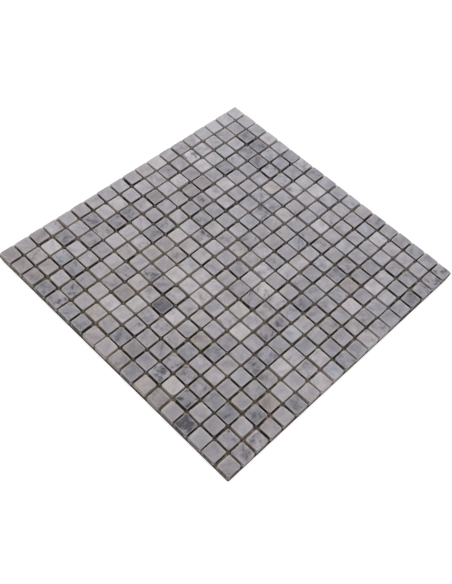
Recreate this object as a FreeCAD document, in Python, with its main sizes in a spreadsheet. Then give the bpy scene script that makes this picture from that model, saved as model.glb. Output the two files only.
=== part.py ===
# Mosaic sheet of small tumbled marble chips, held on a laid fibreglass mesh.
# The sheet lies face up, with its long side along X and its short side along Y.
# The origin is the middle of the sheet's underside, and Z points out of the chips' faces.
# Lengths are in millimetres.

import FreeCAD, Part
import os
import Sketcher

# Driving sizes: alias, value, what it is
DRIVING_SIZES = (
    ("chip_columns", 19, "chips along the long side"),
    ("chip_rows", 18, "chips along the short side"),
    ("chip_length", 15.0, "one chip along X"),
    ("chip_width", 15.0, "one chip along Y"),
    ("chip_thickness", 7.0, "one chip from its back to its face"),
    ("joint_width", 2.0, "open joint between two chips"),
    ("edge_wear", 0.75, "worn edge round a chip's face, inwards and down"),
    ("corner_wear", 1.5, "worn upright corner, along each side of a chip"),
    ("strand_spacing", 5.0, "mesh strand to mesh strand, both ways"),
    ("strand_width", 0.9, "one flat mesh strand, across"),
    ("strand_thickness", 0.2, "one flat mesh strand, through"),
    ("mesh_inset", 1.0, "mesh trimmed back from the outer chips"),
)

# Expressions that several pieces share
COLUMN_PITCH = "(Sizes.chip_length + Sizes.joint_width)"
ROW_PITCH = "(Sizes.chip_width + Sizes.joint_width)"
SHEET_LENGTH = f"(Sizes.chip_columns * {COLUMN_PITCH} - Sizes.joint_width)"
SHEET_WIDTH = f"(Sizes.chip_rows * {ROW_PITCH} - Sizes.joint_width)"
MESH_LENGTH = f"({SHEET_LENGTH} - 2 * Sizes.mesh_inset)"
MESH_WIDTH = f"({SHEET_WIDTH} - 2 * Sizes.mesh_inset)"
WARP_LEVEL = "Sizes.strand_thickness"
CHIP_LEVEL = "2 * Sizes.strand_thickness"

# What a sketch constraint calls the origin
SKETCH_ORIGIN = (-1, 1)

SAME_HEIGHT = 1e-6


def add_size_sheet(document):
    """The spreadsheet that every piece takes its sizes from."""
    sheet = document.addObject("Spreadsheet::Sheet", "Sizes")
    for line, (alias, value, meaning) in enumerate(DRIVING_SIZES, start=1):
        sheet.set(f"A{line}", meaning)
        sheet.set(f"B{line}", str(value))
        sheet.setAlias(f"B{line}", alias)
    document.recompute()
    return sheet


def origin_feature(body, role):
    """One of a body's own origin planes or axes."""
    return next(f for f in body.Origin.OriginFeatures if f.Role == role)


def add_sketch(body, name):
    """An empty sketch on the body's own XY plane."""
    sketch = body.newObject("Sketcher::SketchObject", name)
    sketch.AttachmentSupport = [(origin_feature(body, "XY_Plane"), "")]
    sketch.MapMode = "FlatFace"
    return sketch


def start_of(side):
    """What a sketch constraint calls the start of a side."""
    return side, 1


def end_of(side):
    """What a sketch constraint calls the end of a side."""
    return side, 2


def add_outline(sketch, points):
    """A closed outline through the points, its sides joined end to start. Returns its sides' numbers."""
    first = sketch.GeometryCount
    following = points[1:] + points[:1]
    for start, end in zip(points, following):
        sketch.addGeometry(Part.LineSegment(start, end), False)
    sides = [first + side for side in range(len(points))]
    for side, after in zip(sides, sides[1:] + sides[:1]):
        sketch.addConstraint(Sketcher.Constraint("Coincident", *end_of(side), *start_of(after)))
    return sides


def set_distance(sketch, kind, start, end, name, expression):
    """A named distance from one point to another, along X or Y, bound to the sizes."""
    span = sketch.getPoint(*end) - sketch.getPoint(*start)
    value = span.x if kind == "DistanceX" else span.y
    number = sketch.addConstraint(Sketcher.Constraint(kind, *start, *end, value))
    sketch.renameConstraint(number, name)
    sketch.setExpression(f"Constraints.{name}", expression)


def add_rectangle(sketch, length, width):
    """A rectangle about the sketch's origin, from two expressions."""
    corners = [(-1, -1), (1, -1), (1, 1), (-1, 1)]
    sides = add_outline(sketch, [FreeCAD.Vector(x, y, 0) for x, y in corners])
    for side, direction in zip(sides, ("Horizontal", "Vertical") * 2):
        sketch.addConstraint(Sketcher.Constraint(direction, side))
    near, far = start_of(sides[0]), start_of(sides[2])
    sketch.addConstraint(Sketcher.Constraint("Symmetric", *near, *far, *SKETCH_ORIGIN))
    set_distance(sketch, "DistanceX", near, far, "length", length)
    set_distance(sketch, "DistanceY", near, far, "width", width)


def add_corner_triangle(sketch, name, toward_x, toward_y):
    """A right triangle over one corner of a chip, its two legs as long as the corner is worn."""
    # Drawn one unit long in its own quarter of the chip, until the distances move it to the corner
    corner = FreeCAD.Vector(toward_x, toward_y, 0)
    leg_end_x = FreeCAD.Vector(0, toward_y, 0)
    leg_end_y = FreeCAD.Vector(toward_x, 0, 0)
    leg_x, slope, leg_y = add_outline(sketch, [corner, leg_end_x, leg_end_y])
    sketch.addConstraint(Sketcher.Constraint("Horizontal", leg_x))
    sketch.addConstraint(Sketcher.Constraint("Vertical", leg_y))
    apex = start_of(leg_x)
    for kind, toward, foot, chip_size in (
        ("DistanceX", toward_x, end_of(leg_x), "Sizes.chip_length"),
        ("DistanceY", toward_y, end_of(slope), "Sizes.chip_width"),
    ):
        inner_first = toward > 0
        leg = (foot, apex) if inner_first else (apex, foot)
        offset = (SKETCH_ORIGIN, apex) if inner_first else (apex, SKETCH_ORIGIN)
        set_distance(sketch, kind, *leg, f"{name}_leg_{kind}", "Sizes.corner_wear")
        set_distance(sketch, kind, *offset, f"{name}_offset_{kind}", f"{chip_size} / 2")


def add_pad(body, name, sketch, height):
    """The sketch raised to a height that is an expression."""
    pad = body.newObject("PartDesign::Pad", name)
    pad.Profile = sketch
    pad.setExpression("Length", height)
    body.Document.recompute()
    return pad


def wear_face_edges(body, block):
    """The four edges round the block's upper face, worn off."""
    top = block.Shape.BoundBox.ZMax
    edges = [
        f"Edge{number}"
        for number, edge in enumerate(block.Shape.Edges, start=1)
        if edge.BoundBox.ZMin > top - SAME_HEIGHT
    ]
    wear = body.newObject("PartDesign::Chamfer", "face_edges")
    wear.Base = (block, edges)
    wear.setExpression("Size", "Sizes.edge_wear")
    body.Document.recompute()
    return wear


def wear_upright_corners(body, block):
    """The four upright corners, cut off from the chip's back to its face."""
    sketch = add_sketch(body, "corner_outlines")
    for toward_x in (-1, 1):
        for toward_y in (-1, 1):
            name = f"corner_{'right' if toward_x > 0 else 'left'}_{'rear' if toward_y > 0 else 'front'}"
            add_corner_triangle(sketch, name, toward_x, toward_y)
    cut = body.newObject("PartDesign::Pocket", "upright_corners")
    cut.Profile = sketch
    cut.Type = "ThroughAll"
    cut.Reversed = True
    body.Document.recompute()
    if cut.Shape.Volume >= block.Shape.Volume:
        raise RuntimeError(f"{body.Label}: the corner cut takes nothing off the chip")
    return cut


def repeat(body, axis_role, count, spacing):
    """The body's whole shape, repeated along one of its axes."""
    pattern = body.newObject("PartDesign::LinearPattern", "repeats")
    pattern.TransformMode = "Whole shape"
    pattern.Direction = (origin_feature(body, axis_role), [""])
    pattern.Mode = "Spacing"
    pattern.setExpression("Occurrences", count)
    pattern.setExpression("Offset", spacing)
    body.Tip = pattern


def place(body, **expressions):
    """Puts a body where its expressions for x, y and z say."""
    for axis, expression in expressions.items():
        body.setExpression(f".Placement.Base.{axis}", expression)


def make_chip_row(document, number):
    """One row of separate chips along X. Row 1 is at the front, the lowest Y."""
    body = document.addObject("PartDesign::Body", f"chip_row_{number:02d}")
    outline = add_sketch(body, "chip_outline")
    add_rectangle(outline, "Sizes.chip_length", "Sizes.chip_width")
    blank = add_pad(body, "sawn_blank", outline, "Sizes.chip_thickness")
    wear_upright_corners(body, wear_face_edges(body, blank))
    repeat(body, "X_Axis", "Sizes.chip_columns", COLUMN_PITCH)
    place(
        body,
        x=f"(1 - Sizes.chip_columns) / 2 * {COLUMN_PITCH}",
        y=f"({number} - (Sizes.chip_rows + 1) / 2) * {ROW_PITCH}",
        z=CHIP_LEVEL,
    )
    return body


def strand_count(span):
    """How many strands fit across a span at the strand spacing, as an expression."""
    return f"(floor(({span} - Sizes.strand_width) / Sizes.strand_spacing) + 1)"


def make_weft(document):
    """The mesh's lower strands, which run along X."""
    body = document.addObject("PartDesign::Body", "mesh_weft_strands")
    outline = add_sketch(body, "strand_outline")
    add_rectangle(outline, MESH_LENGTH, "Sizes.strand_width")
    add_pad(body, "strand", outline, "Sizes.strand_thickness")
    count = strand_count(MESH_WIDTH)
    repeat(body, "Y_Axis", count, "Sizes.strand_spacing")
    place(body, y=f"(1 - {count}) / 2 * Sizes.strand_spacing")
    return body


def make_warp(document):
    """The mesh's upper strands, which run along Y, lie on the lower ones and carry the chips."""
    body = document.addObject("PartDesign::Body", "mesh_warp_strands")
    outline = add_sketch(body, "strand_outline")
    add_rectangle(outline, "Sizes.strand_width", MESH_WIDTH)
    add_pad(body, "strand", outline, "Sizes.strand_thickness")
    count = strand_count(MESH_LENGTH)
    repeat(body, "X_Axis", count, "Sizes.strand_spacing")
    place(body, x=f"(1 - {count}) / 2 * Sizes.strand_spacing", z=WARP_LEVEL)
    return body


def check(document, pieces):
    """Stops the build if a feature failed, or a piece isn't a set of whole, separate solids."""
    for item in document.Objects:
        if {"Invalid", "Error"} & set(item.State):
            raise RuntimeError(f"{item.Label} failed: {item.State}")
    for piece in pieces:
        shape = piece.Shape
        if shape.isNull() or not shape.isValid():
            raise RuntimeError(f"{piece.Label} has no valid shape")
        if len(shape.Solids) != piece.Tip.Occurrences:
            raise RuntimeError(f"{piece.Label} has {len(shape.Solids)} solids, not {piece.Tip.Occurrences}")


def main():
    document = FreeCAD.newDocument("mosaic_sheet")
    sizes = add_size_sheet(document)
    pieces = [make_chip_row(document, number) for number in range(1, int(sizes.chip_rows) + 1)]
    pieces += [make_weft(document), make_warp(document)]
    document.recompute()
    check(document, pieces)
    os.makedirs("parts", exist_ok=True)
    for piece in pieces:
        piece.Shape.exportStep(f"parts/{piece.Label}.step")
        print(piece.Label, len(piece.Shape.Solids), "solids", piece.Shape.BoundBox)


main()
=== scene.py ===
# Mosaic sheet of small tumbled marble chips on an open glass net, lying face up.
# Lengths are in metres. X is the long side of the sheet, Y the short side, and Z points out of the faces.

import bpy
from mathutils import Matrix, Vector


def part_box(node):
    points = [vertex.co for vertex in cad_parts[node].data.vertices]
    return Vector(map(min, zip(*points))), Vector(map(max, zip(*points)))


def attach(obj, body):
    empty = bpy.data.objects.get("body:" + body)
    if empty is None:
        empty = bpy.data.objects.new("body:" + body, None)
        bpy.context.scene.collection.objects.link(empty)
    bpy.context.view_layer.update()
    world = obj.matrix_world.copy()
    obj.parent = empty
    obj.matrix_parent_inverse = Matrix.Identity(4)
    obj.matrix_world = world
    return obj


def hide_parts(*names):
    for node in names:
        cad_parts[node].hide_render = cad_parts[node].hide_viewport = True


bl_info = {
    "name": "Tumbled Mosaic Sheet",
    "version": (1, 0, 0),
    "blender": (4, 5, 0),
    "location": "View3D > Sidebar > Mosaic",
    "description": "Dresses a mosaic sheet with tumbled marble chips, a twisted glass net and glue",
    "category": "Object",
}

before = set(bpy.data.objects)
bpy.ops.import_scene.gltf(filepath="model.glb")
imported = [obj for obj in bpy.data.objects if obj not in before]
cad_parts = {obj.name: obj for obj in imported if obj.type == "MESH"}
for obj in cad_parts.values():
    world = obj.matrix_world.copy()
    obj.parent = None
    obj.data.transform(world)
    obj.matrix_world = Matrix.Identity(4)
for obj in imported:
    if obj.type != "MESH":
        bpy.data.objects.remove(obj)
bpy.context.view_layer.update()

import math

import bpy
import numpy as np
from bpy.props import FloatProperty, FloatVectorProperty, IntProperty, PointerProperty
from mathutils import Euler, Matrix, Vector

MM = 0.001
FULL_TURN = 2 * math.pi
QUARTER_TURN = math.pi / 2

# The sheet's layout, read from the solids
CHIP_ROWS = sorted(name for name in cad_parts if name.startswith("chip_row_"))
ROW_LOW, ROW_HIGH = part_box(CHIP_ROWS[0])
CHIP_SIZE = ROW_HIGH.y - ROW_LOW.y
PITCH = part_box(CHIP_ROWS[1])[0].y - ROW_LOW.y
COLUMNS = round((ROW_HIGH.x - ROW_LOW.x + PITCH - CHIP_SIZE) / PITCH)
BACK_LEVEL, FACE_LEVEL = ROW_LOW.z, ROW_HIGH.z
CHIPS_LOW = np.array([ROW_LOW.x, ROW_LOW.y])
CHIPS_HIGH = np.array([ROW_HIGH.x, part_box(CHIP_ROWS[-1])[1].y])

# How finely a chip's skin is divided, from the middle of its face to the middle of its back
ARC_STEPS = 4
SIDE_STEPS = 7
CAP_SHARES = (0.34, 0.67, 0.9)
RIM_TURNS = np.radians((0, 24, 47, 68, 90))
RIM_LEAST_WEAR = 0.3
WALL_SHARES = (0.35, 0.7)
FOOT_TURNS = np.radians((0, 45, 90))
BACK_SHARE = 0.6

# Section of the glue film in a joint: the place across it in half joints, the height in thicknesses
# of the net, and how much of the rise at the joint's low and high wall the point takes
FILM_SECTION = (
    (-1.6, 0.7, 0.0, 0.0), (-1.5, 1.0, 0.9, 0.0), (-1.0, 1.0, 1.0, 0.0), (-0.75, 0.9, 0.4, 0.0),
    (-0.35, 0.75, 0.1, 0.0), (0.0, 0.7, 0.0, 0.0), (0.35, 0.75, 0.0, 0.1), (0.75, 0.9, 0.0, 0.4),
    (1.0, 1.0, 0.0, 1.0), (1.5, 1.0, 0.0, 0.9), (1.6, 0.7, 0.0, 0.0), (1.6, 0.3, 0.0, 0.0),
    (0.0, 0.25, 0.0, 0.0), (-1.6, 0.3, 0.0, 0.0),
)

# Kinds of stone: tone from dark (0) to pale (1), warmth from blue (-1) to beige (1), greenness from
# rose (-1) to green (1), veins and dark blotches
STONE_KINDS = {
    "charcoal": (-0.03, -0.1, 0.2, 0.3, 0.2),
    "graphite": (0.22, -0.3, 0.4, 0.8, 1.5),
    "slate": (0.30, -0.3, 0.0, 0.4, 0.4),
    "mottled": (0.43, -0.1, 0.0, 0.6, 1.1),
    "spotted": (0.79, -0.6, 0.2, 0.1, 2.8),
    "veined": (0.49, 0.2, -0.1, 1.2, 0.2),
    "beige": (0.385, 1.2, 0.1, 0.2, 0.2),
    "tan": (0.40, 2.1, -0.35, 0.2, 0.1),
    "rose": (0.56, 0.3, -0.9, 0.1, 0.0),
    "pale": (0.695, 0.0, -0.3, 0.2, 0.2),
    "cream": (0.715, 0.6, -0.2, 0.1, 0.0),
}

# The chips that stand out, as (column along X, row along Y), both counted from 1
STANDING_OUT = {
    "charcoal": ((5, 10),),
    "slate": (
        (7, 16), (5, 6), (1, 8), (2, 10), (3, 4), (4, 2), (11, 5), (14, 5), (8, 14), (17, 14), (6, 1),
        (4, 17), (19, 11), (3, 15), (1, 12), (6, 17), (18, 16), (1, 15), (18, 15), (16, 1), (15, 15), (8, 16),
    ),
    "graphite": ((1, 4), (2, 5)),
    "mottled": ((6, 12), (10, 12), (18, 1), (19, 1), (2, 7), (1, 14)),
    "spotted": ((14, 17),),
    "veined": ((2, 1), (3, 1), (2, 2), (14, 9)),
    "beige": ((12, 15), (13, 15), (4, 12), (1, 16), (1, 17)),
    "tan": ((5, 7), (5, 2), (14, 4)),
    "rose": ((15, 13), (17, 10)),
    "pale": ((5, 9), (19, 15), (12, 16), (16, 8), (7, 10), (18, 5), (15, 3), (7, 3), (3, 12), (18, 10), (14, 16)),
    "cream": ((9, 13), (7, 11), (3, 17), (2, 6), (7, 6)),
}
KIND_AT = {place: kind for kind, places in STANDING_OUT.items() for place in places}


def length(name, description, default):
    """A settable length."""
    return FloatProperty(
        name=name, description=description, default=default, min=0, precision=5, unit="LENGTH", subtype="DISTANCE"
    )


def angle(name, description, degrees):
    """A settable angle, given in degrees."""
    return FloatProperty(
        name=name, description=description, default=math.radians(degrees), unit="ROTATION", subtype="ANGLE"
    )


def share(name, description, default):
    """A settable share, from nothing to all."""
    return FloatProperty(name=name, description=description, default=default, min=0, max=1, subtype="FACTOR")


def colour(name, description, default):
    """A settable colour, in linear light."""
    return FloatVectorProperty(name=name, description=description, default=default, min=0, max=1, subtype="COLOR")


class ChipSettings(bpy.types.PropertyGroup):
    """Shape of the chips, and how evenly they are laid"""

    seed: IntProperty(name="Seed", description="Number that every random draw follows", default=11)
    undersize: length("Undersize", "Most that a chip is smaller than usual", 0.8 * MM)
    oversize: length("Oversize", "Most that a chip is larger than usual", 0.6 * MM)
    shift: length("Shift", "Most that a chip is laid off its place", 0.4 * MM)
    turn: angle("Turn", "Most that a chip is turned in the plane", 1.0)
    lean: angle("Lean", "Most that a chip's face leans", 0.35)
    sunk: length("Sunk", "Most that a chip is thinner than its place", 0.2 * MM)
    corner_least: length("Least Corner", "Smallest radius of an upright corner", 0.9 * MM)
    corner_most: length("Greatest Corner", "Largest usual radius of an upright corner", 1.9 * MM)
    chipped: share("Chipped", "How many of the corners are chipped, and so twice as round", 0.05)
    rim: length("Rim", "Usual radius of the worn edge round the face", 0.66 * MM)
    foot: length("Foot", "Usual radius of the edge round the back", 0.35 * MM)
    wobble: length("Wobble", "How far the sides stray from straight", 0.12 * MM)
    swell: length("Swell", "How far the face strays from flat", 0.05 * MM)
    upright_wear: share("Upright Wear", "How worn the upright corners are, against the rim", 1.0)
    nick_depth: length("Nick Depth", "Deepest nick in the rim", 0.6 * MM)
    nick_width: length("Nick Width", "Widest nick in the rim", 1.2 * MM)


class MarbleSettings(bpy.types.PropertyGroup):
    """Colours and pattern of the stone"""

    darkest: colour("Darkest", "Stone of the darkest spots", (0.070, 0.068, 0.084))
    dark_room: share("Dark Room", "Share of the colour range that is kept for the darkest spots", 0.15)
    dark: colour("Dark", "Stone of the darkest chips", (0.130, 0.126, 0.150))
    middle: colour("Middle", "Stone of most chips", (0.357, 0.339, 0.374))
    pale: colour("Pale", "Stone of the palest chips", (0.640, 0.620, 0.640))
    beige_tint: colour("Beige Tint", "Tint of the warmest chips", (1.0, 0.955, 0.89))
    blue_tint: colour("Blue Tint", "Tint of the coldest chips", (0.93, 0.965, 1.0))
    green_tint: colour("Green Tint", "Tint of the greenest chips", (0.965, 1.0, 0.975))
    rose_tint: colour("Rose Tint", "Tint of the pinkest chips", (1.0, 0.962, 0.975))
    warmth_spread: share("Warmth Spread", "How much the chips differ from blue to beige", 0.46)
    green_spread: share("Green Spread", "How much the chips differ from rose to green", 0.32)
    # Painted cold light: the drawn chips are bluer towards the sheet's right end.
    painted_cold_light: share("Warmth Drift", "How much colder the chips are at the sheet's right end", 0.80)
    tone_spread: share("Tone Spread", "How much the chips differ in tone", 0.074)
    usual_tone: share("Usual Tone", "Tone of most chips, from dark to pale", 0.503)
    # Painted light: the drawn chips are paler towards the sheet's right and rear ends, the side the lamp stands on.
    painted_light_right: share("Drift Right", "How much paler the chips are at the sheet's right end", 0.042)
    painted_light_rear: share("Drift Rear", "How much paler the chips are at the sheet's rear end", 0.07)
    cloud_size: length("Cloud Size", "Width of the soft clouds in a chip", 8 * MM)
    cloud_depth: share("Cloud Depth", "How much the clouds change the tone", 0.70)
    vein_size: length("Vein Size", "Distance between veins", 9 * MM)
    vein_depth: share("Vein Depth", "How much a full vein darkens the tone", 0.36)
    blotch_size: length("Blotch Size", "Width of the dark blotches", 7 * MM)
    blotch_depth: share("Blotch Depth", "How much a full blotch darkens the tone", 0.50)
    crystal_size: length("Crystal Size", "Width of the stone's crystals", 0.45 * MM)
    grain_size: length("Grain Size", "Width of the grains that show in a face", 1.5 * MM)
    grain_depth: share("Grain Depth", "How much the grains change the tone", 0.22)
    border_width: length("Border Width", "Width of the paler border inside a face's rim", 3 * MM)
    border_lift: share("Border Lift", "How much paler the border is", 0.085)
    border_tint: colour("Border Tint", "Tint of the border", (1.0, 0.972, 0.935))
    dust: colour("Dust", "Stone powder on worn rims at the left end", (0.61, 0.57, 0.54))
    # Painted cold light: the right-end rim colour is the left one made bluer.
    right_dust_in_painted_cold_light: colour("Right Dust", "Stone powder on worn rims at the right end", (0.590, 0.563, 0.580))
    # The side walls darken partly from glue and dirt and partly from painted shade: deeper down the walls, and more in
    # the joints than on the open outer walls.
    stain_and_shade: colour("Stain", "Tint that glue and dirt give the side walls", (0.09, 0.08, 0.075))
    clean_wall: colour("Clean Wall", "Tint of the least stained side walls at the left end", (0.995, 0.938, 0.89))
    # Painted cold light: the right-end wall tint is the left one made bluer.
    right_wall_in_painted_cold_light: colour("Right Wall", "Tint of the least stained side walls at the right end", (0.935, 0.925, 0.985))
    stained_and_shaded: share("Stained", "How stained the side walls of most chips are", 0.385)
    stain_and_shade_spread: share("Stain Spread", "How much the chips differ in how stained they are", 0.55)
    open_wall_stain_and_shade: share("Open Stain", "How stained the outer walls are, against the walls in the joints", 0.8)
    stain_and_shade_follow: FloatProperty(
        name="Stain Follow", description="How much more stained a chip is for each step that it is darker",
        default=6.0, min=0,
    )
    glue_smear: colour("Glue Smear", "Glue spread on the chips' backs", (0.42, 0.37, 0.27))
    glow_depth: length("Glow Depth", "How far light wanders inside the stone", 1.0 * MM)
    pit_size: length("Pit Size", "Distance between small pits in a face", 1.3 * MM)
    relief: length("Relief", "Depth of the grain and pits", 0.06 * MM)


class NetSettings(bpy.types.PropertyGroup):
    """Yarns of the glass net"""

    spacing: length("Spacing", "Strand to strand, both ways", 5 * MM)
    weft_width: length("Weft Width", "Width of a flat weft strand", 0.9 * MM)
    weft_thickness: length("Weft Thickness", "Thickness of a flat weft strand", 0.11 * MM)
    yarn_width: length("Yarn Width", "Width of one yarn of a twisted warp pair", 0.48 * MM)
    yarn_thickness: length("Yarn Thickness", "Thickness of one yarn of a twisted warp pair", 0.14 * MM)
    stray: length("Stray", "How far a strand strays from its line", 0.12 * MM)
    glass: colour("Glass", "Resin-coated glass", (0.52, 0.48, 0.38))
    # Painted highlight: filaments given a brighter colour as if they glint.
    glass_painted_glint: colour("Bright Glass", "Filaments that catch the light", (0.66, 0.62, 0.52))
    soaked_glass: colour("Soaked Glass", "Glass soaked with glue", (0.36, 0.31, 0.22))
    filament_size: length("Filament Size", "Width of the filaments that show in a strand", 0.09 * MM)


class GlueSettings(bpy.types.PropertyGroup):
    """Glue that fills the net under the joints and squeezes up at the chips' feet"""

    rise: length("Rise", "Highest that the film climbs up a chip's wall", 1.3 * MM)
    crossing: length("Crossing", "Distance from a crossing over which the film stays flat", 2.6 * MM)
    station: length("Station", "Length of one step along the film", 1.9 * MM)
    beads: FloatProperty(name="Beads", description="Usual number of beads of glue round one chip", default=1.5, min=0)
    bead_length: length("Bead Length", "Longest bead of glue", 3.2 * MM)
    bead_width: length("Bead Width", "Widest bead of glue", 0.9 * MM)
    bead_height: length("Bead Height", "Highest bead of glue", 1.1 * MM)
    amber: colour("Amber", "Dried glue at the left end", (0.218, 0.176, 0.123))
    dusty: colour("Dusty", "Glue with stone dust on it at the left end", (0.610, 0.522, 0.408))
    # Painted cold light: the right-end glue colours are the left ones made bluer.
    right_amber_in_painted_cold_light: colour("Right Amber", "Dried glue at the right end", (0.203, 0.176, 0.154))
    right_dusty_in_painted_cold_light: colour("Right Dusty", "Glue with stone dust on it at the right end", (0.576, 0.522, 0.480))
    drift_size: length("Drift Size", "Width of the drifts of dust on the glue", 14 * MM)
    drift_depth: share("Drift Depth", "How much dustier the glue is in a drift", 0.8)


class StageSettings(bpy.types.PropertyGroup):
    """Camera, lamps and floor"""

    azimuth: angle("Azimuth", "Camera's direction round the sheet, from straight in front", -54.98)
    elevation: angle("Elevation", "Camera's height above the sheet's plane", 54.30)
    roll: angle("Roll", "Camera's roll about its own axis", 11.57)
    distance: length("Distance", "Camera to the point it looks at", 812.5 * MM)
    lens: FloatProperty(name="Lens", description="Focal length on a 36 mm frame", default=51.63, unit="CAMERA")
    aim_right: FloatProperty(name="Aim Right", description="Aim, right of the middle", default=-0.62 * MM, unit="LENGTH")
    aim_up: FloatProperty(name="Aim Up", description="Aim, above the middle", default=-29.07 * MM, unit="LENGTH")
    lamp_azimuth: angle("Lamp Azimuth", "Soft lamp's direction round the sheet, from straight in front", 135)
    lamp_tilt: angle("Lamp Tilt", "Soft lamp's direction away from straight above", 42)
    lamp_distance: length("Lamp Distance", "Soft lamp to the sheet", 3.0)
    lamp_size: length("Lamp Size", "Side of the soft lamp", 2.6)
    lamp_power: FloatProperty(name="Lamp Power", description="Power of the soft lamp", default=60.0, unit="POWER")
    sky: share("Sky", "Strength of the even light from all round", 0.56)
    floor_colour: colour("Floor", "Floor as the object sees it", (0.60, 0.60, 0.60))
    floor_glow: share("Floor Glow", "Added white that the camera sees on the floor", 0.68)
    # Painted shade: the floor under the sheet is made dark, and the dark fades out past the sheet's right and rear
    # sides like a soft shadow.
    painted_shade_colour: colour("Shade", "Floor under the sheet", (0.09, 0.085, 0.08))
    shade_right: length("Shade Right", "How far the floor's shade reaches beyond the sheet's right side", 8.0 * MM)
    shade_rear: length("Shade Rear", "How far the floor's shade reaches beyond the sheet's rear side", 6.2 * MM)
    shade_core: share("Shade Core", "Share of the shade's reach that is fully dark", 0.2)
    shade_corner: length("Shade Corner", "Radius of the dark floor's near corner", 1.0 * MM)
    shade_fade: length("Shade Fade", "How far the floor's shade reaches beyond the near sides", 0.5 * MM)


def waves(rng, count, first, last):
    """A smooth closed run of numbers between -1 and 1, from waves that fit round first to last times."""
    around = np.arange(count) * (FULL_TURN / count)
    turns = np.arange(first, last + 1)[:, None]
    heights = rng.uniform(0.5, 1.0, turns.shape) / np.sqrt(turns)
    phases = rng.uniform(0, FULL_TURN, turns.shape)
    return (heights * np.cos(turns * around + phases)).sum(0) / heights.sum()


def chip_outline(rng, halves, chips):
    """Points round a chip, the outward direction at each, and how far inwards each may be moved."""
    radii = rng.uniform(chips.corner_least, chips.corner_most, 4)
    radii = np.where(rng.uniform(0, 1, 4) < chips.chipped, 2 * radii, radii)
    points, outward, room = [], [], []
    for quarter, radius in enumerate(radii):
        angles = (quarter + np.linspace(0, 1, ARC_STEPS + 1)) * QUARTER_TURN
        directions = np.stack([np.cos(angles), np.sin(angles)], 1)
        centre = np.sign(directions[ARC_STEPS // 2]) * (halves - radius)
        points.append(centre + radius * directions)
        outward.append(directions)
        room.append(np.full(len(angles), 0.85 * radius))
    for quarter in range(4):
        start, end = points[quarter][-1], points[(quarter + 1) % 4][0]
        steps = np.linspace(0, 1, SIDE_STEPS + 1)[1:-1, None]
        points[quarter] = np.concatenate([points[quarter], start + (end - start) * steps])
        outward[quarter] = np.concatenate([outward[quarter], np.repeat(outward[quarter][-1:], len(steps), 0)])
        room[quarter] = np.concatenate([room[quarter], np.full(len(steps), CHIP_SIZE)])
    return np.concatenate(points), np.concatenate(outward), np.concatenate(room)


def nicks(rng, outline, chips):
    """How much deeper the rim is worn at each point, for a few random nicks."""
    steps = np.linalg.norm(np.roll(outline, -1, 0) - outline, axis=1)
    along = np.cumsum(steps) - steps
    depth = np.zeros(len(outline))
    for _ in range(rng.poisson(1.6)):
        apart = np.abs(along - rng.uniform(0, steps.sum()))
        apart = np.minimum(apart, steps.sum() - apart)
        width = rng.uniform(0.5, 1.0) * chips.nick_width
        depth += rng.uniform(0.2, 1.0) ** 2 * chips.nick_depth * np.exp(-((apart / width) ** 2))
    return depth


def even_corners(inset, room):
    """The inset round a chip, with one value all round each upright corner, so that no point passes another."""
    inset = inset.reshape(4, -1).copy()
    arc = inset[:, : ARC_STEPS + 1]
    arc[:] = np.minimum(arc.mean(1, keepdims=True), room.reshape(4, -1)[:, :1])
    return inset.ravel()


def chip_skin(rng, chips, border_width):
    """One chip about its own middle: its points, and for each how worn it is, how near the face's edge
    and how deep it lies, all from 0 to 1."""
    halves = (CHIP_SIZE + rng.uniform(-chips.undersize, chips.oversize, 2)) / 2
    outline, outward, room = chip_outline(rng, halves, chips)
    count = len(outline)
    outline = outline - outward * (chips.wobble * (1 + waves(rng, count, 2, 9))[:, None])
    rim = chips.rim * (1 + 0.45 * waves(rng, count, 2, 12)) * rng.uniform(0.8, 1.25)
    rim = even_corners(rim + nicks(rng, outline, chips), room)
    foot = even_corners(chips.foot * (1 + 0.6 * waves(rng, count, 2, 12)), room)
    top = FACE_LEVEL - BACK_LEVEL - rng.uniform(0, chips.sunk)
    rings, heights, worn, border = [], [], [], []
    upright = np.where(room < CHIP_SIZE, chips.upright_wear, 0.0)

    def add_ring(inset, height, wear, shrink=1.0):
        rings.append((outline - outward * np.reshape(inset, (-1, 1))) * shrink)
        heights.append(np.broadcast_to(height, count))
        worn.append(np.broadcast_to(wear, count))
        border.append(np.full(count, max(0, 1 - (1 - shrink) * CHIP_SIZE / 2 / border_width)))

    for cap_share in CAP_SHARES:
        add_ring(rim, top, 0.0, cap_share)
    for turn in RIM_TURNS:
        add_ring(rim * (1 - math.sin(turn)), top - rim * (1 - math.cos(turn)), RIM_LEAST_WEAR + math.sin(2 * turn))
    for wall_share in WALL_SHARES:
        level = (top - rim) * (1 - wall_share) + foot * wall_share
        add_ring(chips.wobble * 0.5 * (1 + waves(rng, count, 2, 7)), level, upright)
    for turn in FOOT_TURNS:
        add_ring(foot * (1 - math.cos(turn)), foot * (1 - math.sin(turn)), 0.3)
    add_ring(foot, 0.0, 0.0, BACK_SHARE)

    flat = np.concatenate([[[0, 0]], *rings, [[0, 0]]])
    height = np.concatenate([[top], *heights, [0]])
    near_face = np.clip(height / top, 0, 1) ** 3
    slopes = rng.uniform(-1, 1, 2) * math.tan(chips.lean)
    bend = rng.uniform(-1, 1, (2, 2)) * FULL_TURN / CHIP_SIZE
    swell = chips.swell * np.cos(flat @ bend[0] + rng.uniform(0, FULL_TURN)) * np.cos(flat @ bend[1])
    height = height + near_face * (flat @ slopes + swell)
    height = height - max(0, height.max() - (FACE_LEVEL - BACK_LEVEL))
    depth = 1 - np.clip(height / top, 0, 1)
    worn = np.clip(np.concatenate([[0], *worn, [0]]), 0, 1)
    return np.column_stack([flat, height]), worn, np.concatenate([[0], *border, [0]]), depth


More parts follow.
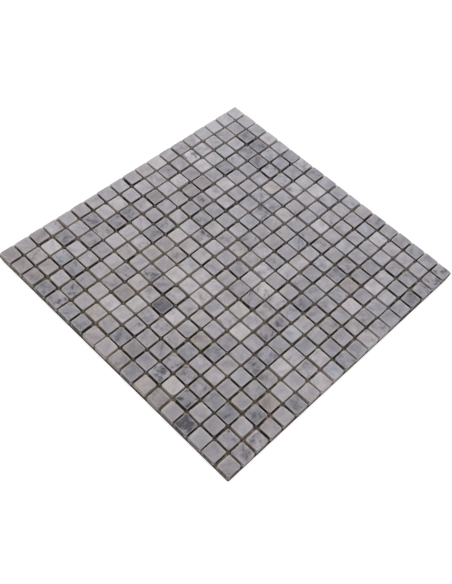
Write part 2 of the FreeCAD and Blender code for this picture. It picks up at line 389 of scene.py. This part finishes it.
def skin_faces(around, rings):
    """Faces of a skin: a fan at each end, and bands of quads between its rings."""
    here = np.arange(around)
    after = (here + 1) % around
    bands = []
    for ring in range(rings - 1):
        upper, lower = 1 + ring * around, 1 + (ring + 1) * around
        bands.append(np.stack([upper + here, lower + here, lower + after, upper + after], 1))
    last = 1 + (rings - 1) * around
    first_fan = np.stack([np.zeros_like(here), 1 + here, 1 + after], 1)
    last_fan = np.stack([np.full_like(here, last + around), last + after, last + here], 1)
    return np.concatenate(bands), np.concatenate([first_fan, last_fan])


def make_piece(name, points, faces, numbers, material, *nodes, slot):
    """A smooth mesh with its named numbers at each point, which takes the place of the given solids."""
    mesh = bpy.data.meshes.new(name)
    mesh.from_pydata(points.tolist(), [], [face for group in faces for face in group.tolist()])
    for label, values in numbers.items():
        values = np.ascontiguousarray(values, np.float32)
        kind, field = ("FLOAT_VECTOR", "vector") if values.ndim == 2 else ("FLOAT", "value")
        mesh.attributes.new(label, kind, "POINT").data.foreach_set(field, values.ravel())
    mesh.materials.append(material)
    mesh.shade_smooth()
    mesh.update()
    piece = bpy.data.objects.new(name, mesh)
    bpy.context.collection.objects.link(piece)
    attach(piece, "root")
    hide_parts(*nodes)
    return piece


def stone_kind(rng, marble, column, row):
    """A chip's tone, warmth, greenness, veins and blotches: its own if it stands out, or else drawn."""
    right = (column - 1) / (COLUMNS - 1) - 0.5
    rear = (row - 1) / (len(CHIP_ROWS) - 1) - 0.5
    # Painted light: paler towards the right and rear ends.
    drift = right * marble.painted_light_right + rear * marble.painted_light_rear
    drawn = (
        marble.usual_tone + rng.normal() * marble.tone_spread + drift,
        # Painted cold light: bluer towards the right end.
        rng.normal() * marble.warmth_spread - right * marble.painted_cold_light,
        rng.normal() * marble.green_spread,
        1.3 * rng.uniform() ** 3,
        0.8 * rng.uniform() ** 8,
    )
    return STONE_KINDS[KIND_AT[column, row]] if (column, row) in KIND_AT else drawn


def chip_tint(marble, warmth, greenness):
    """The colour that a chip's warmth and greenness multiply its stone by."""
    tint = np.ones(3)
    for amount, less, more in (
        (warmth, marble.blue_tint, marble.beige_tint),
        (greenness, marble.rose_tint, marble.green_tint),
    ):
        tint *= 1 + abs(amount) * (np.array(more if amount > 0 else less) - 1)
    return tint


def make_chip_row(context, node, row, material):
    """One row of chips, in the place of the row's solids."""
    chips, marble = context.scene.mosaic_chips, context.scene.mosaic_marble
    around = 4 * (ARC_STEPS + SIDE_STEPS)
    rings = len(CAP_SHARES) + len(RIM_TURNS) + len(WALL_SHARES) + len(FOOT_TURNS) + 1
    quads, triangles = skin_faces(around, rings)
    size = 2 + around * rings
    points, all_quads, all_triangles = [], [], []
    labels = ("stone", "worn", "border", "depth", "tone", "tint", "veining", "blotch", "stain_and_shade")
    numbers = {label: [] for label in labels}
    for column in range(1, COLUMNS + 1):
        rng = np.random.default_rng([chips.seed, row, column])
        skin, worn, border, depth = chip_skin(rng, chips, marble.border_width)
        turn = Matrix.Rotation(rng.uniform(-1, 1) * chips.turn, 2)
        flat = skin[:, :2] @ np.array(turn).T
        middle = CHIPS_LOW + CHIP_SIZE / 2 + PITCH * np.array([column - 1, row - 1])
        flat = flat + middle + rng.uniform(-1, 1, 2) * chips.shift
        flat = flat + np.maximum(CHIPS_LOW - flat.min(0), 0) - np.maximum(flat.max(0) - CHIPS_HIGH, 0)
        cut = np.array(Euler(rng.uniform(0, FULL_TURN, 3)).to_matrix())
        all_quads.append(quads + size * (column - 1))
        all_triangles.append(triangles + size * (column - 1))
        points.append(np.column_stack([flat, skin[:, 2] + BACK_LEVEL]))
        tone, warmth, greenness, veining, blotch = stone_kind(rng, marble, column, row)
        stone = skin @ cut.T + rng.uniform(-0.5, 0.5, 3)
        tint = np.tile(chip_tint(marble, warmth, greenness), (size, 1))
        stain_and_shade = marble.stained_and_shaded + marble.stain_and_shade_follow * (marble.usual_tone - tone)
        stain_and_shade = np.clip(rng.normal(stain_and_shade, marble.stain_and_shade_spread), 0, 1)
        # Painted shade: outer walls, which face the open floor, are darkened less than the walls in the joints.
        outer = ((flat < CHIPS_LOW + 1 * MM) | (flat > CHIPS_HIGH - 1 * MM)).any(1)
        stain_and_shade = stain_and_shade * np.where(outer, marble.open_wall_stain_and_shade, 1)
        tone, veining, blotch = (np.full(size, value) for value in (tone, veining, blotch))
        for label, values in zip(labels, (stone, worn, border, depth, tone, tint, veining, blotch, stain_and_shade)):
            numbers[label].append(values)
    numbers = {label: np.concatenate(values) for label, values in numbers.items()}
    make_piece(
        f"marble_row_{row:02d}", np.concatenate(points), all_quads + all_triangles, numbers, material, node,
        slot="marble",
    )


def new_material(name):
    """A material with its node tree and its Principled surface node."""
    material = bpy.data.materials.new(name)
    material.use_nodes = True
    return material, material.node_tree, material.node_tree.nodes["Principled BSDF"]


def fill(tree, socket, value):
    """Joins a socket to another node's output, or sets it to a plain value."""
    if isinstance(value, bpy.types.NodeSocket):
        tree.links.new(value, socket)
    elif socket.type == "RGBA":
        socket.default_value = (*value, 1)
    else:
        socket.default_value = value


def named(tree, label, output="Fac"):
    """Numbers that the mesh carries under a name."""
    node = tree.nodes.new("ShaderNodeAttribute")
    node.attribute_name = label
    return node.outputs[output]


def noise(tree, place, size, detail=2.0, roughness=0.5, distortion=0.0):
    """Soft noise whose lumps are about size across."""
    node = tree.nodes.new("ShaderNodeTexNoise")
    fill(tree, node.inputs["Vector"], place)
    node.inputs["Scale"].default_value = 1 / size
    node.inputs["Detail"].default_value = detail
    node.inputs["Roughness"].default_value = roughness
    node.inputs["Distortion"].default_value = distortion
    return node.outputs["Fac"]


def cells(tree, place, size, output="Distance"):
    """Random cells that are about size across."""
    node = tree.nodes.new("ShaderNodeTexVoronoi")
    fill(tree, node.inputs["Vector"], place)
    node.inputs["Scale"].default_value = 1 / size
    return node.outputs[output]


def calculate(tree, operation, *values):
    """The result of one sum."""
    node = tree.nodes.new("ShaderNodeMath")
    node.operation = operation
    for socket, value in zip(node.inputs, values):
        fill(tree, socket, value)
    return node.outputs[0]


def between(tree, value, low, high, least=0.0, most=1.0):
    """A value that rises smoothly from least to most as the given one goes from low to high."""
    node = tree.nodes.new("ShaderNodeMapRange")
    node.interpolation_type = "SMOOTHSTEP"
    for label, entry in (("Value", value), ("From Min", low), ("From Max", high), ("To Min", least), ("To Max", most)):
        fill(tree, node.inputs[label], entry)
    return node.outputs[0]


def blend(tree, share_of_second, first, second, blend_type="MIX"):
    """Two colours, blended."""
    node = tree.nodes.new("ShaderNodeMix")
    node.data_type = "RGBA"
    node.blend_type = blend_type
    fill(tree, node.inputs[0], share_of_second)
    fill(tree, node.inputs[6], first)
    fill(tree, node.inputs[7], second)
    return node.outputs[2]


def ramp(tree, value, stops):
    """A colour that runs through the stops as the value rises."""
    node = tree.nodes.new("ShaderNodeValToRGB")
    fill(tree, node.inputs[0], value)
    elements = node.color_ramp.elements
    while len(elements) < len(stops):
        elements.new(1)
    for element, (position, stop) in zip(elements, stops):
        element.position = position
        element.color = (*stop, 1)
    return node.outputs[0]


def bump(tree, height, distance, strength=1.0, normal=None):
    """A normal that follows a height."""
    node = tree.nodes.new("ShaderNodeBump")
    node.inputs["Strength"].default_value = strength
    node.inputs["Distance"].default_value = distance
    fill(tree, node.inputs["Height"], height)
    if normal:
        fill(tree, node.inputs["Normal"], normal)
    return node.outputs[0]


def along_vector(tree, operation, *values, output=0):
    """The result of one sum on places or directions."""
    node = tree.nodes.new("ShaderNodeVectorMath")
    node.operation = operation
    for socket, value in zip(node.inputs, values):
        fill(tree, socket, value)
    return node.outputs[output]


def painted_cold_light_towards_right(tree, left, right):
    """A colour that runs from one at the sheet's left end to another at its right end, used to paint bluer light on
    the right end.
    """
    place = tree.nodes.new("ShaderNodeTexCoord").outputs["Object"]
    along = along_vector(tree, "DOT_PRODUCT", place, (1, 0, 0), output="Value")
    return blend(tree, between(tree, along, CHIPS_LOW[0], CHIPS_HIGH[0]), left, right)


def stone_tone(tree, marble, stone, crystals):
    """How pale the stone is at a place: the chip's own tone, with its clouds, veins and blotches."""
    tone = named(tree, "tone")
    bedded = along_vector(tree, "MULTIPLY", stone, (1, 1, 0.35))
    cloud = calculate(tree, "SUBTRACT", noise(tree, bedded, marble.cloud_size, 3, 0.5, 0.3), 0.5)
    tone = calculate(tree, "MULTIPLY_ADD", cloud, marble.cloud_depth, tone)
    tone = calculate(tree, "MULTIPLY_ADD", crystals, 0.12, tone)
    grain = calculate(tree, "SUBTRACT", noise(tree, stone, marble.grain_size, 1, 0.5), 0.5)
    tone = calculate(tree, "MULTIPLY_ADD", grain, marble.grain_depth, tone)

    line = calculate(tree, "SUBTRACT", noise(tree, bedded, marble.vein_size, 2, 0.45, 0.25), 0.5)
    line = calculate(tree, "ABSOLUTE", line)
    halo = between(tree, line, 0.01, 0.13, 0.5, 0)
    vein = calculate(tree, "ADD", between(tree, line, 0, 0.035, 0.6, 0), halo)
    faint = between(tree, noise(tree, stone, marble.blotch_size, 2, 0.5), 0.40, 0.60)
    vein = calculate(tree, "MULTIPLY", vein, faint)
    vein = calculate(tree, "MULTIPLY", vein, named(tree, "veining"))
    tone = calculate(tree, "MULTIPLY_ADD", vein, -marble.vein_depth, tone)

    patch = between(tree, noise(tree, stone, marble.blotch_size, 2, 0.5), 0.47, 0.62)
    streaked = along_vector(tree, "MULTIPLY", stone, (1, 1, 0.25))
    spots = between(tree, noise(tree, streaked, marble.blotch_size / 4, 3, 0.6, 0.4), 0.36, 0.64, 0.3, 1)
    blotch = calculate(tree, "MULTIPLY", calculate(tree, "MULTIPLY", patch, spots), named(tree, "blotch"))
    tone = calculate(tree, "MULTIPLY_ADD", blotch, -marble.blotch_depth, tone)
    return calculate(tree, "MULTIPLY_ADD", named(tree, "border"), marble.border_lift, tone)


def marble_material(marble):
    """Tumbled marble: cloudy grey with soft veins, paler worn rims, and side walls darkened by glue and dirt and by
    painted shade.
    """
    material, tree, surface = new_material("tumbled_marble")
    stone = named(tree, "stone", "Vector")
    depth = named(tree, "depth")
    crystals = calculate(tree, "SUBTRACT", noise(tree, stone, marble.crystal_size, 2, 0.6), 0.5)
    patchy = noise(tree, stone, 2.2 * MM, 3, 0.6)

    tone = stone_tone(tree, marble, stone, crystals)
    spare = marble.dark_room
    stops = ((0.0, marble.darkest), (spare, marble.dark), (0.5 + spare / 2, marble.middle), (1.0, marble.pale))
    body = ramp(tree, calculate(tree, "MULTIPLY_ADD", tone, 1 - spare, spare), stops)
    uneven = between(tree, noise(tree, stone, marble.cloud_size, 2, 0.5), 0.35, 0.60, 0.45, 1)
    body = blend(tree, uneven, body, named(tree, "tint", "Vector"), "MULTIPLY")
    bordered = calculate(tree, "MULTIPLY", named(tree, "border"), between(tree, patchy, 0.3, 0.6, 0.6, 1))
    body = blend(tree, bordered, body, marble.border_tint, "MULTIPLY")

    worn, stain_and_shade = named(tree, "worn"), named(tree, "stain_and_shade")
    powder = calculate(tree, "MULTIPLY", between(tree, stain_and_shade, 0, 0.5, 0.9, 0), between(tree, depth, 0.05, 0.3))
    powder = calculate(tree, "MULTIPLY", powder, between(tree, patchy, 0.35, 0.65, 0.5, 0.95))
    dusty = calculate(tree, "MULTIPLY", worn, between(tree, patchy, 0.35, 0.65, 0.30, 0.80))
    dusty = calculate(tree, "MAXIMUM", dusty, powder)
    # Painted cold light: rim dust and wall tint turn bluer towards the right end.
    body = blend(tree, dusty, body, painted_cold_light_towards_right(tree, marble.dust, marble.right_dust_in_painted_cold_light))
    wall = blend(tree, stain_and_shade, painted_cold_light_towards_right(tree, marble.clean_wall, marble.right_wall_in_painted_cold_light), marble.stain_and_shade)
    # Glue and dirt together with painted shade: the walls darken more the deeper they lie, down to near the foot.
    full_stain_and_shade = calculate(tree, "MULTIPLY_ADD", stain_and_shade, -0.35, 0.55)
    stained_and_shaded = calculate(tree, "MULTIPLY", between(tree, depth, 0.04, full_stain_and_shade), between(tree, patchy, 0.3, 0.7, 0.85, 1))
    stained_and_shaded = calculate(tree, "MULTIPLY", stained_and_shaded, between(tree, worn, 0.2, 1, 1, 0.15))
    stained_and_shaded = calculate(tree, "MULTIPLY", stained_and_shaded, between(tree, depth, 0.95, 0.99, 1, 0.1))
    body = blend(tree, stained_and_shaded, body, wall, "MULTIPLY")
    smeared = between(tree, noise(tree, stone, marble.blotch_size, 3, 0.6), 0.40, 0.50)
    smeared = calculate(tree, "MULTIPLY", smeared, between(tree, depth, 0.72, 0.97))
    body = blend(tree, smeared, body, marble.glue_smear)

    fill(tree, surface.inputs["Base Color"], body)
    fill(tree, surface.inputs["Roughness"], between(tree, patchy, 0.3, 0.7, 0.58, 0.78))
    surface.inputs["Specular IOR Level"].default_value = 0.35
    surface.inputs["Subsurface Weight"].default_value = 0.4
    surface.inputs["Subsurface Radius"].default_value = (1.0, 0.85, 0.7)
    surface.inputs["Subsurface Scale"].default_value = marble.glow_depth
    pits = between(tree, cells(tree, stone, marble.pit_size), 0.04, 0.22)
    relief = calculate(tree, "MULTIPLY_ADD", crystals, 0.5, pits)
    fill(tree, surface.inputs["Normal"], bump(tree, relief, marble.relief, 0.5))
    return material


def sweep(centres, sideways, width, thickness, corners):
    """Rings of points round a flat strand that follows its centres; sideways is the axis it is wide along."""
    angles = np.arange(corners) * (FULL_TURN / corners)
    rings = np.repeat(centres[:, None, :], corners, 1)
    rings[:, :, sideways] += np.cos(angles) * (width / 2)[:, None]
    rings[:, :, 2] += np.sin(angles) * thickness / 2
    return rings


def strand_faces(stations, corners, turned):
    """Faces of one swept strand with closed ends."""
    here = np.arange(corners)
    after = (here + 1) % corners
    start = np.arange(stations - 1)[:, None] * corners
    quads = np.stack([start + here, start + after, start + corners + after, start + corners + here], 2)
    quads = quads.reshape(-1, 4)
    ends = np.stack([here[::-1], here + (stations - 1) * corners])
    return (quads[:, ::-1], ends[:, ::-1]) if turned else (quads, ends)


def join_strands(strands, corners, turned):
    """All strands' points and faces in one, with the place along and across each strand."""
    points, quads, ends, fibre = [], [], [], []
    offset = 0
    for number, (rings, along) in enumerate(strands):
        stations = len(rings)
        strand_quads, strand_ends = strand_faces(stations, corners, turned)
        quads.append(strand_quads + offset)
        ends.append(strand_ends + offset)
        points.append(rings.reshape(-1, 3))
        across = np.tile(np.linspace(-1, 1, corners), stations)
        fibre.append(np.column_stack([np.repeat(along, corners), across, np.full(stations * corners, number)]))
        offset += stations * corners
    return tuple(np.concatenate(parts) for parts in (points, quads, ends, fibre))


def strand_lines(node, axis, width, spacing):
    """Where a layer's strands lie across it, and where they start and end."""
    low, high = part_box(node)
    across = 1 - axis
    lines = np.arange(low[across] + width / 2, high[across], spacing)
    return lines, low[axis], high[axis]


def make_weft(net, rng, material):
    """The flat weft strands, which run straight along X."""
    node = "mesh_weft_strands"
    lines, start, end = strand_lines(node, 0, net.weft_width, net.spacing)
    level = BACK_LEVEL / 2
    along = np.linspace(start, end, 2 * round((end - start) / net.spacing))
    strands = []
    for line in lines:
        stray = net.stray * waves(rng, len(along), 1, 12)
        centres = np.column_stack([along, line + stray, np.full(len(along), level)])
        widths = net.weft_width * (0.9 + 0.1 * waves(rng, len(along), 3, 40))
        strands.append((sweep(centres, 1, widths, net.weft_thickness, 6), along))
    points, quads, ends, fibre = join_strands(strands, 6, False)
    points[:, 1] = np.clip(points[:, 1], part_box(node)[0].y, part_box(node)[1].y)
    make_piece("flat_weft", points, [quads, ends], {"fibre": fibre}, material, node, slot="fibreglass_mesh")


def make_warp(net, rng, material):
    """The warp strands, each a pair of yarns that twist about every weft strand."""
    node = "mesh_warp_strands"
    lines, start, end = strand_lines(node, 1, net.weft_width, net.spacing)
    weft_lines, _, _ = strand_lines("mesh_weft_strands", 0, net.weft_width, net.spacing)
    along = np.linspace(start, end, 3 * round((end - start) / net.spacing))
    twist = math.pi * (along - weft_lines[0]) / net.spacing
    swing = (net.weft_width - net.yarn_width) / 2
    lift = (BACK_LEVEL - net.yarn_thickness) / 2
    strands = []
    for line in lines:
        stray = net.stray * waves(rng, len(along), 1, 12)
        for side in (-1, 1):
            sideways = line + stray + side * swing * np.sin(twist)
            centres = np.column_stack([sideways, along, BACK_LEVEL / 2 + side * lift * np.cos(twist)])
            strands.append((sweep(centres, 0, np.full(len(along), net.yarn_width), net.yarn_thickness, 4), along))
    points, quads, ends, fibre = join_strands(strands, 4, True)
    points[:, 0] = np.clip(points[:, 0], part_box(node)[0].x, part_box(node)[1].x)
    make_piece("twisted_warp", points, [quads, ends], {"fibre": fibre}, material, node, slot="fibreglass_mesh")


def net_material(net):
    """Resin-coated glass yarn: fine filaments along the strand, some painted brighter as glints, a slight shine and
    stains.
    """
    material, tree, surface = new_material("coated_glass_yarn")
    fibre = named(tree, "fibre", "Vector")
    filaments = noise(tree, along_vector(tree, "MULTIPLY", fibre, (150, 6, 1.7)), 1.0, 2, 0.6)
    place = tree.nodes.new("ShaderNodeTexCoord").outputs["Object"]
    stains = noise(tree, place, 9 * MM, 3, 0.6)
    # Painted highlight: bright filaments stand in for glints.
    body = blend(tree, between(tree, filaments, 0.3, 0.7), net.glass, net.glass_painted_glint)
    body = blend(tree, between(tree, stains, 0.40, 0.65, 0.1, 0.9), body, net.soaked_glass)
    fill(tree, surface.inputs["Base Color"], body)
    fill(tree, surface.inputs["Roughness"], between(tree, filaments, 0.3, 0.7, 0.38, 0.55))
    fill(tree, surface.inputs["Normal"], bump(tree, filaments, net.filament_size, 0.5))
    return material


def film_line(rng, glue, axis, joint, low, high):
    """The film in one joint that runs right across the sheet along an axis."""
    across, level, low_rise, high_rise = np.array(FILM_SECTION).T
    along = np.linspace(low, high, round((high - low) / glue.station))
    first_crossing = CHIPS_LOW[axis] + CHIP_SIZE + (PITCH - CHIP_SIZE) / 2
    apart = np.abs((along - first_crossing + PITCH / 2) % PITCH - PITCH / 2)
    walls = np.clip(apart / glue.crossing - 0.4, 0, 1)
    rises = [walls * glue.rise * (0.5 + 0.5 * waves(rng, len(along), 5, 60)) for _ in range(2)]
    rings = np.zeros((len(along), len(across), 3))
    rings[:, :, axis] = along[:, None]
    rings[:, :, 1 - axis] = joint + across * (PITCH - CHIP_SIZE) / 2
    rings[:, :, 2] = level * BACK_LEVEL + rises[0][:, None] * low_rise + rises[1][:, None] * high_rise
    return rings, along


def make_glue_film(context, material):
    """The film of glue that fills the net under the joints and climbs the chips' walls a little."""
    glue = context.scene.mosaic_glue
    rng = np.random.default_rng([context.scene.mosaic_chips.seed, 2])
    low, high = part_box("mesh_weft_strands")
    points, faces = [], []
    for axis in (0, 1):
        joints = np.arange(CHIPS_LOW[1 - axis] + (PITCH + CHIP_SIZE) / 2, CHIPS_HIGH[1 - axis] - CHIP_SIZE, PITCH)
        lines = [film_line(rng, glue, axis, joint, low[axis], high[axis]) for joint in joints]
        film_points, quads, ends, _ = join_strands(lines, len(FILM_SECTION), axis == 0)
        offset = sum(map(len, points))
        faces += [quads + offset, ends + offset]
        points.append(film_points)
    make_piece("glue_film", np.concatenate(points), faces, {}, material, slot="fibreglass_mesh")


def make_glue_beads(context, material):
    """Small beads of dried glue, squeezed out round the chips' feet."""
    glue, chips = context.scene.mosaic_glue, context.scene.mosaic_chips
    around, turns = 8, np.radians((20, 55, 90, 125, 160))
    quads, triangles = skin_faces(around, len(turns))
    size = 2 + around * len(turns)
    angles = np.arange(around) * (FULL_TURN / around)
    ball = [[0, 0, 1]]
    for turn in turns:
        ring = np.stack([np.cos(angles), np.sin(angles), np.full(around, 1 / math.tan(turn))], 1)
        ball.extend(ring * math.sin(turn))
    ball = np.array(ball + [[0, 0, -1]])
    points, all_quads, all_triangles = [], [], []
    for row in range(1, len(CHIP_ROWS) + 1):
        for column in range(1, COLUMNS + 1):
            rng = np.random.default_rng([chips.seed, row, column, 1])
            middle = CHIPS_LOW + CHIP_SIZE / 2 + PITCH * np.array([column - 1, row - 1])
            for _ in range(rng.poisson(glue.beads)):
                scale = rng.uniform(0.4, 1.0, 3) * (glue.bead_length / 2, glue.bead_width / 2, glue.bead_height / 2)
                side = rng.integers(4)
                outward = CHIP_SIZE / 2 - 0.1 * MM
                aside = rng.uniform(-1, 1) * (CHIP_SIZE / 2 - 2 * MM)
                bead = ball * scale * (1 + rng.normal(0, 0.08, (size, 1)))
                bead = bead + (aside, -outward, BACK_LEVEL + scale[2] * 0.6)
                bead[:, 2] = np.maximum(bead[:, 2], BACK_LEVEL * 0.5)
                turn = np.array(Matrix.Rotation(side * QUARTER_TURN, 2))
                flat = bead[:, :2] @ turn.T + middle
                flat = np.clip(flat, CHIPS_LOW, CHIPS_HIGH)
                all_quads.append(quads + size * len(points))
                all_triangles.append(triangles + size * len(points))
                points.append(np.column_stack([flat, bead[:, 2]]))
    make_piece("glue_beads", np.concatenate(points), all_quads + all_triangles, {}, material, slot="fibreglass_mesh")


def glue_material(glue):
    """Dried amber glue with dust on it."""
    material, tree, surface = new_material("dried_glue")
    place = tree.nodes.new("ShaderNodeTexCoord").outputs["Object"]
    dust = noise(tree, place, 2.5 * MM, 3, 0.6)
    drifts = calculate(tree, "SUBTRACT", noise(tree, place, glue.drift_size, 1, 0.5), 0.5)
    dust = calculate(tree, "MULTIPLY_ADD", drifts, glue.drift_depth, dust)
    # Painted cold light: the glue turns bluer towards the right end.
    amber = painted_cold_light_towards_right(tree, glue.amber, glue.right_amber_in_painted_cold_light)
    dusty = painted_cold_light_towards_right(tree, glue.dusty, glue.right_dusty_in_painted_cold_light)
    body = blend(tree, between(tree, dust, 0.40, 0.60), amber, dusty)
    fill(tree, surface.inputs["Base Color"], body)
    fill(tree, surface.inputs["Roughness"], between(tree, dust, 0.35, 0.7, 0.3, 0.6))
    fill(tree, surface.inputs["Normal"], bump(tree, noise(tree, place, 0.5 * MM, 2), 0.05 * MM, 0.6))
    return material


def seen_directly(tree):
    """1 where the camera looks straight, or by way of a reflection or glass, and 0 elsewhere."""
    rays = tree.nodes.new("ShaderNodeLightPath")
    seen = calculate(tree, "MAXIMUM", rays.outputs["Is Camera Ray"], rays.outputs["Is Glossy Ray"])
    return calculate(tree, "MAXIMUM", seen, rays.outputs["Is Transmission Ray"])


def outside_painted_shade(tree, stage):
    """0 where the floor carries painted shade, under the sheet, and 1 elsewhere: the painted shade ends soon past the
    near sides and fades slowly past the far ones.
    """
    corner = stage.shade_corner
    full_width = corner + stage.shade_fade
    start = corner / full_width
    dark_end = start + stage.shade_core * (1 - start)
    slopes = (1 - start) / np.array([stage.shade_right, stage.shade_rear])
    place = tree.nodes.new("ShaderNodeTexCoord").outputs["Object"]
    near = along_vector(tree, "SUBTRACT", (*(CHIPS_LOW + corner), 0), place)
    near = along_vector(tree, "MULTIPLY", near, (1 / full_width, 1 / full_width, 0))
    far = along_vector(tree, "SUBTRACT", place, (*CHIPS_HIGH, 0))
    far = along_vector(tree, "MULTIPLY_ADD", far, (*slopes, 0), (start, start, 0))
    beyond = along_vector(tree, "MAXIMUM", along_vector(tree, "MAXIMUM", near, far), (0, 0, 0))
    return between(tree, along_vector(tree, "LENGTH", beyond, output="Value"), dark_end, 1)


def make_floor(stage):
    """A wide pale floor with painted shade, dark under the sheet and fading past its far sides, which the camera sees
    as white apart from the sheet's shadow and the painted shade.
    """
    half = 12.0
    below = -0.05 * MM
    corners = [(-half, -half, below), (half, -half, below), (half, half, below), (-half, half, below)]
    mesh = bpy.data.meshes.new("floor")
    mesh.from_pydata(corners, [], [(0, 1, 2, 3)])
    material, tree, surface = new_material("pale_floor")
    # Painted shade: under the sheet and past its far sides, the floor takes the dark colour and loses the white glow
    # that the camera sees.
    outside_shade = outside_painted_shade(tree, stage)
    seen = blend(tree, outside_shade, stage.painted_shade_colour, stage.floor_colour)
    fill(tree, surface.inputs["Base Color"], seen)
    surface.inputs["Roughness"].default_value = 0.9
    surface.inputs["Specular IOR Level"].default_value = 0.0
    surface.inputs["Emission Color"].default_value = (1, 1, 1, 1)
    glow = calculate(tree, "MULTIPLY", seen_directly(tree), stage.floor_glow)
    fill(tree, surface.inputs["Emission Strength"], calculate(tree, "MULTIPLY", glow, outside_shade))
    mesh.materials.append(material)
    floor = bpy.data.objects.new("floor", mesh)
    bpy.context.collection.objects.link(floor)


def light_world(stage):
    """Even light from all round, and white where the camera looks past the floor."""
    world = bpy.data.worlds.new("studio")
    world.use_nodes = True
    tree = world.node_tree
    background = tree.nodes["Background"]
    background.inputs["Color"].default_value = (1, 1, 1, 1)
    strength = between(tree, seen_directly(tree), 0, 1, stage.sky, 1)
    fill(tree, background.inputs["Strength"], strength)
    bpy.context.scene.world = world


def add_lamp(stage):
    """One large soft lamp, above the sheet and to the camera's right, turned towards the sheet."""
    lamp = bpy.data.lights.new("soft_lamp", "AREA")
    lamp.shape = "SQUARE"
    lamp.size = stage.lamp_size
    lamp.energy = stage.lamp_power
    holder = bpy.data.objects.new("soft_lamp", lamp)
    turn = Euler((stage.lamp_tilt, 0, stage.lamp_azimuth)).to_matrix()
    holder.matrix_world = turn.to_4x4() @ Matrix.Translation((0, 0, stage.lamp_distance))
    bpy.context.collection.objects.link(holder)


def add_camera(stage):
    """The camera, turned round its aim by azimuth, elevation and roll."""
    camera = bpy.data.cameras.new("camera")
    camera.sensor_width = 36
    camera.lens = stage.lens
    azimuth, elevation = stage.azimuth, stage.elevation
    back = Vector((
        math.sin(azimuth) * math.cos(elevation),
        -math.cos(azimuth) * math.cos(elevation),
        math.sin(elevation),
    ))
    right = Vector((math.cos(azimuth), math.sin(azimuth), 0))
    up = back.cross(right)
    aim = Vector((0, 0, FACE_LEVEL)) + right * stage.aim_right + up * stage.aim_up
    cos_roll, sin_roll = math.cos(stage.roll), math.sin(stage.roll)
    rolled_right = right * cos_roll + up * sin_roll
    rolled_up = up * cos_roll - right * sin_roll
    holder = bpy.data.objects.new("camera", camera)
    axes = Matrix((rolled_right, rolled_up, back)).transposed().to_4x4()
    holder.matrix_world = Matrix.Translation(aim + back * stage.distance) @ axes
    bpy.context.collection.objects.link(holder)
    bpy.context.scene.camera = holder


class MOSAIC_OT_lay_chips(bpy.types.Operator):
    """Lay the rows of tumbled marble chips"""

    bl_idname = "mosaic.lay_chips"
    bl_label = "Lay Chips"
    bl_options = {"REGISTER", "UNDO"}

    def execute(self, context):
        material = marble_material(context.scene.mosaic_marble)
        for row, node in enumerate(CHIP_ROWS, start=1):
            make_chip_row(context, node, row, material)
        return {"FINISHED"}


class MOSAIC_OT_weave_net(bpy.types.Operator):
    """Weave the glass net behind the chips"""

    bl_idname = "mosaic.weave_net"
    bl_label = "Weave Net"
    bl_options = {"REGISTER", "UNDO"}

    def execute(self, context):
        net = context.scene.mosaic_net
        rng = np.random.default_rng(context.scene.mosaic_chips.seed)
        material = net_material(net)
        make_weft(net, rng, material)
        make_warp(net, rng, material)
        return {"FINISHED"}


class MOSAIC_OT_spread_glue(bpy.types.Operator):
    """Spread the glue film under the joints, and the beads round the chips' feet"""

    bl_idname = "mosaic.spread_glue"
    bl_label = "Spread Glue"
    bl_options = {"REGISTER", "UNDO"}

    def execute(self, context):
        material = glue_material(context.scene.mosaic_glue)
        make_glue_film(context, material)
        make_glue_beads(context, material)
        return {"FINISHED"}


class MOSAIC_OT_set_stage(bpy.types.Operator):
    """Set the floor, the light and the camera"""

    bl_idname = "mosaic.set_stage"
    bl_label = "Set Stage"
    bl_options = {"REGISTER", "UNDO"}

    def execute(self, context):
        stage = context.scene.mosaic_stage
        context.scene.view_settings.view_transform = "Standard"
        make_floor(stage)
        light_world(stage)
        add_lamp(stage)
        add_camera(stage)
        return {"FINISHED"}


class MOSAIC_PT_sheet(bpy.types.Panel):
    """Settings and steps of the mosaic sheet"""

    bl_idname = "MOSAIC_PT_sheet"
    bl_label = "Mosaic Sheet"
    bl_space_type = "VIEW_3D"
    bl_region_type = "UI"
    bl_category = "Mosaic"

    def draw(self, context):
        for operator, groups in STEPS.items():
            box = self.layout.box()
            box.operator(operator)
            for group in groups:
                settings = getattr(context.scene, group)
                for name in settings.__annotations__:
                    box.prop(settings, name)


SETTINGS = {
    "mosaic_chips": ChipSettings,
    "mosaic_marble": MarbleSettings,
    "mosaic_net": NetSettings,
    "mosaic_glue": GlueSettings,
    "mosaic_stage": StageSettings,
}
STEPS = {
    "mosaic.lay_chips": ("mosaic_chips", "mosaic_marble"),
    "mosaic.weave_net": ("mosaic_net",),
    "mosaic.spread_glue": ("mosaic_glue",),
    "mosaic.set_stage": ("mosaic_stage",),
}
CLASSES = (
    *SETTINGS.values(),
    MOSAIC_OT_lay_chips,
    MOSAIC_OT_weave_net,
    MOSAIC_OT_spread_glue,
    MOSAIC_OT_set_stage,
    MOSAIC_PT_sheet,
)


def register():
    for entry in CLASSES:
        bpy.utils.register_class(entry)
    for name, group in SETTINGS.items():
        setattr(bpy.types.Scene, name, PointerProperty(type=group))


def unregister():
    for name in SETTINGS:
        delattr(bpy.types.Scene, name)
    for entry in reversed(CLASSES):
        bpy.utils.unregister_class(entry)


def main():
    register()
    bpy.ops.mosaic.lay_chips()
    bpy.ops.mosaic.weave_net()
    bpy.ops.mosaic.spread_glue()
    bpy.ops.mosaic.set_stage()


if __name__ == "__main__":
    main()
